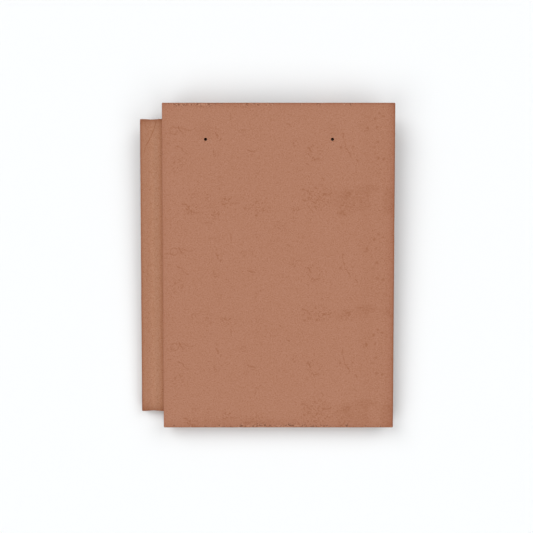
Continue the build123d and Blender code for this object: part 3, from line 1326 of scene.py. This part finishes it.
    def material(self, pose: RestPose) -> bpy.types.Material:
        """Return the concrete's material.

        Args:
            pose: how the level tile lies, which centres and turns the pattern.

        Returns:
            The material.
        """
        graph = Graph("cast_concrete")
        place = self.place(graph, pose)
        plan = graph.vector("MULTIPLY", place, (1.0, 1.0, 0.0))
        stained, marked = self.stained(graph, place, plan)

        layers = [
            graph.math("MULTIPLY", graph.math("SUBTRACT", graph.noise(place, size, detail), 0.5), share)
            for size, detail, share in self.grain_layers
        ]
        grain = graph.total(*layers)
        pores = graph.add("TexVoronoi", place, feature="F1")
        pores.inputs["Scale"].default_value = self.pore_scale
        pore = graph.step(pores.outputs["Distance"], *self.pore_edge, 1.0, 0.0)

        across = graph.add("SeparateXYZ", place).outputs["X"]
        # painted shade and light across the strip: darker from its middle towards the slab's wall, and redder with
        # less blue at the wall's foot
        strip = graph.tint(graph.step(across, *self.gutter_shade_reach), self.strip, self.gutter)
        strip = graph.tint(graph.step(across, *self.wall_foot_shading_reach), strip, self.foot)
        on_slab = graph.step(across, *self.slab_edge)
        plain = graph.tint(on_slab, strip, self.face)
        coated = graph.tint(stained, plain, graph.vector("MULTIPLY", plain, self.stain))
        left = graph.tint(on_slab, self.lock_margin, self.margin)
        coated = graph.toned(coated, graph.mask(Tone.SHADE), graph.vector("SUBTRACT", left, (1.0, 1.0, 1.0)))

        coat = graph.math("ADD", graph.mask(Tone.COAT), graph.math("MULTIPLY", grain, self.fray))
        raw = graph.step(coat, *self.raw_edge, 1.0, 0.0)
        # the pores' dark colour is painted shade; the marks' is their own
        pitting = graph.math("MULTIPLY", graph.most(pore, marked), self.pit_share)
        bare = graph.tint(pitting, self.body, self.pit)
        colour = graph.tint(raw, coated, bare)
        colour = graph.tint(graph.math("MULTIPLY", graph.mask(Tone.WORN), self.worn_share), colour, self.worn)
        # a chip shows its fresh colour, broken by painted shade in its hollows
        broken = graph.tint(self.crumbs.mask(graph, place), self.chip, self.fresh)
        colour = graph.tint(graph.math("MULTIPLY", graph.mask(Tone.CHIP), self.chip_share), colour, broken)
        # painted shade: the nail holes' walls turn near black below their mouths
        colour = graph.tint(graph.mask(Tone.BORE), colour, self.dirt)
        varied = graph.toned(colour, grain, tuple(2 * share for share in self.grain))

        on_face, more = self.sand_relief
        rough = graph.math("ADD", graph.math("MULTIPLY", raw, more), on_face)
        sand = graph.math("MULTIPLY", graph.noise(place, *self.sand), rough)
        pitted = graph.math("MULTIPLY", pore, graph.math("MULTIPLY", raw, self.pore_relief))
        relief = graph.total(sand, pitted, graph.math("MULTIPLY", marked, self.mark_relief))
        bump = graph.add("Bump")
        bump.inputs["Strength"].default_value = self.relief_strength
        bump.inputs["Distance"].default_value = self.relief * MM
        graph.feed(bump.inputs["Height"], relief)

        shader = graph.add("BsdfPrincipled")
        graph.feed(shader.inputs["Base Color"], varied)
        dull = graph.math("SUBTRACT", self.roughness, graph.math("MULTIPLY", stained, self.stain_sheen))
        graph.feed(shader.inputs["Roughness"], dull)
        shader.inputs["Specular IOR Level"].default_value = self.specular
        graph.feed(shader.inputs["Normal"], bump.outputs[0])
        graph.add("OutputMaterial", shader.outputs[0])
        return graph.material


@dataclass(frozen=True)
class CastTile:
    """The whole casting: slab, underlock, underside and nail holes in one closed skin."""

    slab: Slab = Slab()
    lock: Underlock = Underlock()
    under: Underside = Underside()
    holes: tuple[NailHole, ...] = (NailHole(-93.6, 163.4), NailHole(69.1, 163.4))
    finish: CastConcrete = CastConcrete()
    fine_step: float = 1.1          # division of the arrises and walls
    face_step: float = 2.6          # division of the face inside them
    band: tuple[float, ...] = (3.0,)    # further lines of the arris band, inside the rounded corners
    face_inset: float = 4.4
    side_rows: tuple[float, ...] = (0.0, 0.07, 0.17, 0.45, 1.0)
    foot_rows: tuple[float, ...] = (0.0, 1 / 3, 2 / 3)
    coat_fade: float = 7.0          # the coloured face runs this far down the sides
    mid_share: float = 0.6          # the sides divide at this share of their depth
    swell: tuple[float, float] = (0.16, 0.1)    # unevenness of the sides and of the underside
    uneven: Ripple = Ripple(seed=29, shortest=14.0, longest=90.0)
    wear: dict[Side, ArrisWear] = field(
        default_factory=lambda: {
            Side.TAIL: ArrisWear(seed=3, runs=((-78.0, -30.0, 10), (-33.0, 94.0, 44), (-33.0, 26.0, 26)), line=0.3),
            Side.RIGHT: ArrisWear(seed=5, chips=40, chip_length=(0.7, 2.4), chip_reach=(1.5, 2.6), line=0.8),
            Side.HEAD: ArrisWear(seed=8, runs=((-142.0, -74.0, 34), (-46.0, -3.0, 12)), line=0.5),
            Side.LEFT: ArrisWear(seed=13, chips=16, chip_length=(0.7, 2.4), chip_reach=(1.4, 2.4), line=0.05),
        }
    )
    strip_wear: ArrisWear = ArrisWear(
        seed=21, radius=1.2, rub=0.1, chips=14, chip_length=(0.7, 2.0), chip_reach=(1.0, 1.9), notch=1.2, line=0.45
    )
    margins: tuple[Margin, ...] = (
        Margin(Side.RIGHT, 1.35, 4.4),
        Margin(Side.LEFT, 0.28, 5.5),
        Margin(Side.HEAD, 0.9, 3.4),
        Margin(Side.TAIL, 0.55, 5.6),
    )
    lock_margins: tuple[Margin, ...] = (
        Margin(Side.LEFT, 1.6, 4.2),
        Margin(Side.HEAD, 1.7, 4.0),
        Margin(Side.TAIL, 1.45, 5.8),
    )
    darkest: float = 1.7            # margins add up to no more than this
    margin_fade: tuple[float, float] = (0.45, 0.9)  # the strip's margins end between these shares of the coat
    bore_coat: tuple[float, float] = (-1.5, -0.5)   # the coat ends between these heights in the nail holes
    sharp_angle: float = 38.0       # degrees; edges that turn further than this are not smoothed
    strip_from: float = 1.0         # corners this far beside the slab wear with the strip

    @property
    def nibs(self) -> tuple[float, ...]:
        """X of the nibs, which stand in line with the nail holes."""
        return tuple(hole.x for hole in self.holes)

    def floor_of(self, x: Array, y: Array) -> Array:
        """Return the height of the underside at places."""
        return -self.under.depth(self.slab, self.lock, self.nibs, x, y)

    def in_span(self, x: Array, y: Array) -> Array:
        """Return whether places on the outline belong to the strip or to the side above it."""
        return (x <= -self.slab.half_width + SLACK) & (np.abs(y) <= self.lock.half_run(self.slab) + SLACK)

    def crest(self, x: Array, y: Array) -> Array:
        """Return where the sides divide: at the strip's upper edge, and at like heights elsewhere.

        Args:
            x: places across the tile.
            y: places up the roof.

        Returns:
            The height at each place.
        """
        lowest = self.lock.rim_drop + self.lock.rim_radius
        plain = -np.minimum(lowest, self.mid_share * -self.floor_of(x, y))
        return np.where(self.in_span(x, y), self.lock.top(self.slab, x, y), plain)

    def rounded(self, points: Array) -> Array:
        """Return points with the corners of slab and strip rounded, seen from above.

        In a corner's square, a point at (u, v) moves to (u, v) * max(u, v) / root(u^2 + v^2), which turns the
        square's outer sides into a quarter circle and leaves its inner sides where they are.

        Args:
            points: points of the sharp outline, with their coordinates last.

        Returns:
            The moved points.
        """
        points = points.copy()
        outer, run = self.lock.outer(self.slab), self.lock.half_run(self.slab)
        half_width, half_length = self.slab.half_width, self.slab.half_length
        corners = [(side * half_width, end * half_length, side, end) for side in (-1, 1) for end in (-1, 1)]
        corners += [(outer, end * run, -1, end) for end in (-1, 1)]
        for x, y, side, end in corners:
            radius = self.slab.corner
            middle = np.array([x - side * radius, y - end * radius])
            u, v = ((points[..., :2] - middle) * (side, end) / radius).reshape(-1, 2).T
            inside = (u > TINY) & (v > TINY) & (u < 1 + SLACK) & (v < 1 + SLACK)
            scale = np.where(inside, np.maximum(u, v) / np.maximum(np.hypot(u, v), TINY), 1.0)
            moved = middle + radius * np.column_stack([u * scale * side, v * scale * end])
            flat = points.reshape(-1, points.shape[-1])
            flat[inside, :2] = moved[inside]
        return points

    def surface(self, x: Array, y: Array, height: Height) -> Array:
        """Return the grid of points over every pair of an x and a y line, at a height worked out there."""
        plan_x, plan_y = np.meshgrid(x, y, indexing="ij")
        return self.rounded(np.stack([plan_x, plan_y, height(plan_x, plan_y)], axis=-1))

    def path(self, corners: list[tuple[float, float]], across: Array, along: Array) -> tuple[Array, Array]:
        """Return the places along a path of straight runs, at every line that it crosses.

        Args:
            corners: the path's corners, from first to last.
            across: lines at fixed X.
            along: lines at fixed Y.

        Returns:
            The places, and how far along the path each lies.
        """
        runs = []
        for (x0, y0), (x1, y1) in zip(corners[:-1], corners[1:]):
            if y0 == y1:
                line = between(across, min(x0, x1), max(x0, x1))
                run = np.column_stack([line, np.full(len(line), y0)])
            else:
                line = between(along, min(y0, y1), max(y0, y1))
                run = np.column_stack([np.full(len(line), x0), line])
            runs.append((run if x1 + y1 > x0 + y0 else run[::-1])[:-1])
        places = np.vstack([*runs, [corners[-1]]])
        steps = np.abs(np.diff(places, axis=0)).sum(axis=1)
        return places, np.concatenate([[0.0], np.cumsum(steps)])

    def lines(self) -> tuple[Array, Array, Array, Array]:
        """Return the lines that divide the casting.

        Returns:
            The coarse and the fine lines at fixed X, and then those at fixed Y.
        """
        slab, lock, under = self.slab, self.lock, self.under
        edge = np.concatenate([slab.edge_insets(), self.band])
        outer, run = lock.outer(slab), lock.half_run(slab)
        rim = lock.edge_insets()
        across = [-slab.half_width + slab.edge_insets(), slab.half_width - slab.edge_insets(), outer + rim]
        across += [under.lines_across(slab, self.nibs), *[hole.marks(hole.x) for hole in self.holes]]
        along = [-slab.half_length + slab.edge_insets(), slab.half_length - slab.edge_insets()]
        along += [-run + rim, run - rim, under.lines_along(slab), *[hole.marks(hole.y) for hole in self.holes]]
        coarse_across = spaced(np.concatenate(across), under.plain_step)
        coarse_along = spaced(np.concatenate(along), under.plain_step)
        more_across = [coarse_across, lock.lines(slab), -slab.half_width + edge, slab.half_width - edge]
        more_along = [coarse_along, -slab.half_length + edge, slab.half_length - edge]
        fine_across = spaced(np.concatenate(more_across), self.fine_step)
        fine_along = spaced(np.concatenate(more_along), self.fine_step)
        return coarse_across, fine_across, coarse_along, fine_along

    def add_face(self, skin: Skin, fine_across: Array, fine_along: Array) -> None:
        """Add the slab's face: the finely divided band of its arrises, a stitched ring, and the middle.

        Args:
            skin: the casting's skin.
            fine_across: fine lines at fixed X.
            fine_along: fine lines at fixed Y.
        """
        slab = self.slab
        wide, long = slab.half_width, slab.half_length
        inner = self.band[-1]
        x_lines = between(fine_across, -wide, wide)
        y_lines = between(fine_along, -long + inner, long - inner)
        for low in (-long, long - inner):
            skin.grid(self.surface(x_lines, between(fine_along, low, low + inner), slab.face), 1.0)
        for low in (-wide, wide - inner):
            skin.grid(self.surface(between(fine_across, low, low + inner), y_lines, slab.face), 1.0)

        low_x, low_y = -wide + self.face_inset, -long + self.face_inset
        marks_x = np.concatenate([[low_x, -low_x], *[hole.marks(hole.x) for hole in self.holes]])
        marks_y = np.concatenate([[low_y, -low_y], *[hole.marks(hole.y) for hole in self.holes]])
        mid_x, mid_y = spaced(marks_x, self.face_step), spaced(marks_y, self.face_step)
        skin.grid(self.surface(mid_x, mid_y, slab.face), 1.0, keep=self.outside_holes(mid_x, mid_y))

        ring = [(-1, -1), (1, -1), (1, 1), (-1, 1), (-1, -1)]
        for start, end in zip(ring[:-1], ring[1:]):
            fine, coarse = (
                self.path([(a * px, b * py) for a, b in (start, end)], *lines)
                for px, py, lines in (
                    (wide - inner, long - inner, (fine_across, fine_along)),
                    (-low_x, -low_y, (mid_x, mid_y)),
                )
            )
            offset = self.face_inset - inner
            points = [self.rounded(np.column_stack([p, slab.face(p[:, 0], p[:, 1])])) for p in (fine[0], coarse[0])]
            skin.stitch(points[0], fine[1], points[1], coarse[1] + offset, 1.0, flip=False)

    def outside_holes(self, x: Array, y: Array) -> Array:
        """Return which cells between the lines lie in no nail hole's window."""
        middle_x, middle_y = np.meshgrid((x[:-1] + x[1:]) / 2, (y[:-1] + y[1:]) / 2, indexing="ij")
        return ~np.logical_or.reduce([hole.covers(middle_x, middle_y) for hole in self.holes])

    def add_sides(self, skin: Skin, lines: tuple[Array, Array, Array, Array]) -> None:
        """Add the walls: from the face's arris down to where the sides divide, and on to the underside.

        Args:
            skin: the casting's skin.
            lines: the coarse and fine lines at fixed X, and then those at fixed Y.
        """
        coarse_across, fine_across, coarse_along, fine_along = lines
        wide, long = self.slab.half_width, self.slab.half_length
        outer, run = self.lock.outer(self.slab), self.lock.half_run(self.slab)
        head, strip = [(-wide, -long), (wide, -long), (wide, long), (-wide, long)], [(-wide, run), (outer, run)]
        strip += [(outer, -run), (-wide, -run)]

        def wall(places: Array, top: Array, bottom: Array, shares: tuple[float, ...]) -> Array:
            """Return a wall's grid: along the path, and down by shares of the way to the bottom.

            Args:
                places: places along the path.
                top: the height of the wall's top at each.
                bottom: and of its bottom.
                shares: the rows' places from top to bottom.

            Returns:
                The grid of points.
            """
            height = top[:, None] + (bottom - top)[:, None] * np.array(shares)
            plan = np.broadcast_to(places[:, None, :], (*height.shape, 2))
            return np.concatenate([plan, height[..., None]], axis=2)

        ring, _ = self.path([*head, head[0]], fine_across, fine_along)
        top = np.full(len(ring), -self.slab.arris)
        upper = wall(ring, top, self.crest(*ring.T), self.side_rows)
        coat = np.exp((upper[..., 2] + self.slab.arris) / self.coat_fade)
        skin.grid(self.rounded(upper), coat, flip=True)

        outline = [*head, *strip, head[0]]
        fine, fine_at = self.path(outline, fine_across, fine_along)
        coarse, coarse_at = self.path(outline, coarse_across, coarse_along)
        crest, foot = self.crest(*fine.T), self.floor_of(*fine.T)
        lower = wall(fine, crest, foot, self.foot_rows)
        own_top = np.where(self.in_span(*fine.T), crest, -self.slab.arris)
        coat = np.exp((lower[..., 2] - own_top[:, None]) / self.coat_fade)
        lower = self.rounded(lower)
        skin.grid(lower, coat, flip=True)
        bottom = self.rounded(np.column_stack([coarse, self.floor_of(*coarse.T)]))
        skin.stitch(lower[:, -1], fine_at, bottom, coarse_at, 0.0, flip=True)

    def add_strip(self, skin: Skin, fine_across: Array, fine_along: Array) -> None:
        """Add the underlock's upper surface.

        Args:
            skin: the casting's skin.
            fine_across: fine lines at fixed X.
            fine_along: fine lines at fixed Y.
        """
        run = self.lock.half_run(self.slab)
        x = between(fine_across, self.lock.outer(self.slab), -self.slab.half_width)
        y = between(fine_along, -run, run)
        skin.grid(self.surface(x, y, lambda px, py: self.lock.top(self.slab, px, py)), 1.0)

    def add_underside(self, skin: Skin, across: Array, along: Array) -> None:
        """Add the underside of slab and strip, and the skins of the nail holes.

        Args:
            skin: the casting's skin.
            across: coarse lines at fixed X.
            along: coarse lines at fixed Y.
        """
        keep = self.outside_holes(across, along)
        beside = (across[:-1] < -self.slab.half_width - SLACK)[:, None]
        beyond = np.abs((along[:-1] + along[1:]) / 2)[None, :] > self.lock.half_run(self.slab)
        skin.grid(self.surface(across, along, self.floor_of), 0.0, keep=keep & ~(beside & beyond), flip=True)
        for hole in self.holes:
            tube = hole.tube(self.slab.face, self.floor_of)
            skin.grid(tube, smooth_step(tube[..., 2], *self.bore_coat))

    def shaped(self) -> tuple[Array, dict[Tone, Array], list[list[int]]]:
        """Return the casting in the level frame.

        Returns:
            Its corners, its masks and its faces.
        """
        lines = self.lines()
        coarse_across, fine_across, coarse_along, fine_along = lines
        skin = Skin()
        self.add_face(skin, fine_across, fine_along)
        self.add_sides(skin, lines)
        self.add_strip(skin, fine_across, fine_along)
        self.add_underside(skin, coarse_across, coarse_along)
        points, coat, faces = skin.welded()
        masks = {Tone.COAT: coat, Tone.SHADE: self.shade(points, coat)}
        # how far down the nail holes the painted shade reaches
        masks[Tone.BORE] = np.max([hole.inner(points, self.slab.panel) for hole in self.holes], axis=0)
        self.make_uneven(points)
        masks[Tone.WORN], masks[Tone.CHIP] = self.worn(points)
        return points, masks, faces

    def make_uneven(self, points: Array) -> None:
        """Draw the sides and the underside in by a smooth unevenness, most at the outside.

        Args:
            points: corners, which are moved.
        """
        sides, below = self.swell
        ripple = self.uneven.at(points)
        middle = (self.slab.half_width + self.lock.outer(self.slab)) / 2
        reach = self.slab.half_width - middle
        points[:, 0] -= sides * ripple * (points[:, 0] - middle) / reach
        points[:, 1] -= sides * ripple * points[:, 1] / self.slab.half_length
        points[:, 2] -= below * ripple * np.clip(points[:, 2] / self.slab.bearing, -1.0, 0.0)

    def worn(self, points: Array) -> tuple[Array, Array]:
        """Wear the arrises of face and strip in place.

        Args:
            points: corners, which are moved.

        Returns:
            The masks of the rubbed lines and of the chips.
        """
        slab, lock = self.slab, self.lock
        half = {0: slab.half_width, 1: slab.half_length}
        results = []
        on_slab = points[:, 0] > -slab.half_width - self.strip_from
        for side, wear in self.wear.items():
            part = points[on_slab]
            masks = wear.apply(part, side.across, side.facing, side.facing * half[side.across], 0.0)
            points[on_slab] = part
            results.append([self.scattered(mask, on_slab) for mask in masks])
        on_strip = ~on_slab
        for across, facing, at in (
            (0, -1, lock.outer(slab)), (1, 1, lock.half_run(slab)), (1, -1, -lock.half_run(slab))
        ):
            part = points[on_strip]
            masks = self.strip_wear.apply(part, across, facing, at, -lock.rim_drop)
            points[on_strip] = part
            results.append([self.scattered(mask, on_strip) for mask in masks])
        worn, chipped = (np.max([result[i] for result in results], axis=0) for i in (0, 1))
        return worn, chipped

    @staticmethod
    def scattered(values: Array, where: Array) -> Array:
        """Return values put back where they came from, with 0 elsewhere.

        Args:
            values: one value for each place that was taken.
            where: which places were taken.

        Returns:
            One value for every place.
        """
        full = np.zeros(len(where))
        full[where] = values
        return full

    def shade(self, points: Array, coat: Array) -> Array:
        """Return the darker margins: each falls off with the distance inside its side as exp(-distance / width).

        Where two meet they add up, to no more than the darkest, and the strip's fade down its sides.

        Args:
            points: places in the level frame.
            coat: how far the coloured face reaches there, which falls down the sides.

        Returns:
            How dark each place is.
        """
        slab, lock = self.slab, self.lock
        edges = {
            Side.TAIL: -slab.half_length,
            Side.HEAD: slab.half_length,
            Side.LEFT: -slab.half_width,
            Side.RIGHT: slab.half_width,
        }
        run = lock.half_run(slab)
        lock_edges = {Side.TAIL: -run, Side.HEAD: run, Side.LEFT: lock.outer(slab)}

        def total(margins: tuple[Margin, ...], at: dict[Side, float]) -> Array:
            """Return the sum of some margins.

            Args:
                margins: the margins.
                at: where each side lies on its axis.

            Returns:
                How dark each place is.
            """
            inside = [m.side.facing * (at[m.side] - points[:, m.side.across]) for m in margins]
            parts = [m.strength * np.exp(-np.maximum(d, 0.0) / m.width) for m, d in zip(margins, inside)]
            return np.minimum(np.sum(parts, axis=0), self.darkest)

        on_face = points[:, 2] > -0.5 * lock.rim_drop
        lower = total(self.lock_margins, lock_edges) * smooth_step(coat, *self.margin_fade)
        return np.where(on_face, total(self.margins, edges), lower)

    def build(self, pose: RestPose) -> bpy.types.Object:
        """Make the casting, with its place in its mesh.

        Args:
            pose: how the level tile lies on the floor.

        Returns:
            The casting's object.
        """
        points, masks, faces = self.shaped()
        mesh = bpy.data.meshes.new("cast_tile")
        mesh.from_pydata(pose.placed(points).tolist(), [], faces)
        mesh.polygons.foreach_set("use_smooth", np.ones(len(mesh.polygons), dtype=bool))
        mesh.update()
        mesh.set_sharp_from_angle(angle=math.radians(self.sharp_angle))
        for tone, values in masks.items():
            attribute = mesh.attributes.new(tone.value, "FLOAT", "POINT")
            attribute.data.foreach_set("value", values.astype(np.float32))
        tile = bpy.data.objects.new("cast_tile", mesh)
        bpy.context.scene.collection.objects.link(tile)
        return tile

    def dress(self, tile: bpy.types.Object, pose: RestPose) -> None:
        """Give the casting its concrete, whose pattern is placed by the pose."""
        tile.data.materials.append(self.finish.material(pose))


@dataclass(frozen=True)
class SoftLight:
    """A broad, far light: where it stands round the tile, how high, how wide it looks, and its share of the light."""

    bearing: float          # degrees, counted anticlockwise from the tile's right side
    height: float           # degrees above the floor
    share: float            # what it adds to the brightness of the open floor
    spread: float = 42.0    # degrees across

    def build(self, name: str, floor: float, tint: Colour) -> None:
        """Hang the light. A matt floor of this albedo has the brightness albedo * strength * sin(height) / pi.

        Args:
            name: the light's name.
            floor: albedo of the floor.
            tint: the light's colour.
        """
        lamp = bpy.data.lights.new(name, "SUN")
        lamp.energy = self.share * math.pi / (floor * math.sin(math.radians(self.height)))
        lamp.angle = math.radians(self.spread)
        lamp.color = tint
        light = bpy.data.objects.new(name, lamp)
        light.rotation_euler = (0.0, math.radians(90.0 - self.height), math.radians(self.bearing))
        bpy.context.scene.collection.objects.link(light)


@dataclass(frozen=True)
class Studio:
    """The pale floor, the soft light that comes from all round, and the camera straight above."""

    floor_half: float = 6.0
    floor_albedo: float = 0.9
    all_round: float = 0.205        # what the even light from all round adds to the brightness of the open floor
    lights: tuple[SoftLight, ...] = (
        SoftLight(135.0, 45.0, 0.274),
        SoftLight(45.0, 45.0, 0.191),
        SoftLight(225.0, 45.0, 0.179),
        SoftLight(315.0, 45.0, 0.149),
    )
    tint: Colour = (0.984, 1.0, 1.009)      # daylight, a little cool
    lens: float = 50.0
    sensor: float = 36.0
    camera_place: tuple[float, float, float] = (-0.00046, -0.00031, 0.9891)

    def build(self) -> None:
        """Make the floor, the light and the camera."""
        self.lay_floor()
        self.light_up()
        self.place_camera()

    def lay_floor(self) -> None:
        """Lay a matt white floor at the height that the tile lies on."""
        half = self.floor_half
        mesh = bpy.data.meshes.new("studio_floor")
        mesh.from_pydata([(-half, -half, 0), (half, -half, 0), (half, half, 0), (-half, half, 0)], [], [(0, 1, 2, 3)])
        floor = bpy.data.objects.new("studio_floor", mesh)
        bpy.context.scene.collection.objects.link(floor)
        graph = Graph("studio_white")
        shader = graph.add("BsdfPrincipled")
        graph.feed(shader.inputs["Base Color"], (self.floor_albedo, self.floor_albedo, self.floor_albedo, 1.0))
        shader.inputs["Roughness"].default_value = 1.0
        shader.inputs["Specular IOR Level"].default_value = 0.0
        graph.add("OutputMaterial", shader.outputs[0])
        mesh.materials.append(graph.material)

    def light_up(self) -> None:
        """Light the studio from all round and with the soft lights, and show its colours as they are.

        The room that the camera sees behind the floor is as pale as the floor itself.
        """
        world = bpy.data.worlds.new("studio_light")
        world.use_nodes = True
        tree = world.node_tree
        background = next(node for node in tree.nodes if node.type == "BACKGROUND")
        background.inputs["Color"].default_value = (*self.tint, 1.0)
        seen = tree.nodes.new("ShaderNodeLightPath")
        level = tree.nodes.new("ShaderNodeMapRange")
        level.inputs["To Min"].default_value = self.all_round / self.floor_albedo
        level.inputs["To Max"].default_value = 1.0
        tree.links.new(seen.outputs["Is Camera Ray"], level.inputs["Value"])
        tree.links.new(level.outputs[0], background.inputs["Strength"])
        bpy.context.scene.world = world
        bpy.context.scene.view_settings.view_transform = "Standard"
        for number, light in enumerate(self.lights, start=1):
            light.build(f"soft_light_{number}", self.floor_albedo, self.tint)

    def place_camera(self) -> None:
        """Hang the camera over the tile, looking straight down with the tile's head at the top."""
        lens = bpy.data.cameras.new("studio_camera")
        lens.lens = self.lens
        lens.sensor_width = self.sensor
        camera = bpy.data.objects.new("studio_camera", lens)
        camera.location = self.camera_place
        bpy.context.scene.collection.objects.link(camera)
        bpy.context.scene.camera = camera


def main() -> None:
    """Build the tile and the studio, and log the tile's face count and tilt."""
    logging.basicConfig(level=logging.INFO, format="%(name)s: %(message)s")
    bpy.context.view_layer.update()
    casting = CastTile()
    pose = RestPose.of(frame["record"], casting.holes[0], casting.slab.panel)
    tile = casting.build(pose)
    casting.dress(tile, pose)
    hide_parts("roof_tile")
    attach(tile, "root")
    LOG.info("%s: %d faces, tilt %.3f degrees", tile.name, len(tile.data.polygons), math.degrees(pose.tilt))
    Studio().build()
    LOG.info("studio: floor, light and camera")


if __name__ == "__main__":
    main()
